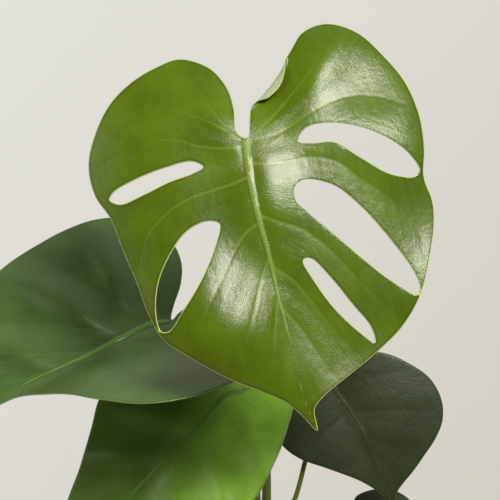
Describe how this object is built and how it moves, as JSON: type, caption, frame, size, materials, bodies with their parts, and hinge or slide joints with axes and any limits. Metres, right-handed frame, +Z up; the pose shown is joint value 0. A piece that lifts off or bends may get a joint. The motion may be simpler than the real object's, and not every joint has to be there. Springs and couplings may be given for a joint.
{
  "type": "potted monstera plant",
  "caption": "Young monstera with one large split leaf and smaller heart-shaped leaves on long stalks, rising from a short stem in a tapered stoneware pot.",
  "frame": {"origin": "centre of the pot's flat base, on the surface it stands on", "axes": "+Z up; the plant's front, where the large leaf faces, is towards -Y; +X is to the right seen from the front"},
  "size_m": [0.3651, 0.2008, 0.5451],
  "materials": {
    "stoneware": "matte",
    "soil": "matte",
    "stem": "satin",
    "petiole": "satin",
    "young_leaf": "satin",
    "old_leaf": "satin",
    "middle_leaf": "satin",
    "shaded_leaf": "satin"
  },
  "bodies": {
    "root": {"pot": "stoneware", "potting_soil": "soil", "main_stem": "stem", "petiole_1": "petiole", "petiole_2": "petiole", "petiole_3": "petiole", "petiole_4": "petiole", "petiole_5": "petiole", "leaf_1": "young_leaf", "leaf_2": "old_leaf", "leaf_3": "middle_leaf", "leaf_4": "shaded_leaf", "leaf_5": "shaded_leaf"}
  },
  "joints": []
}
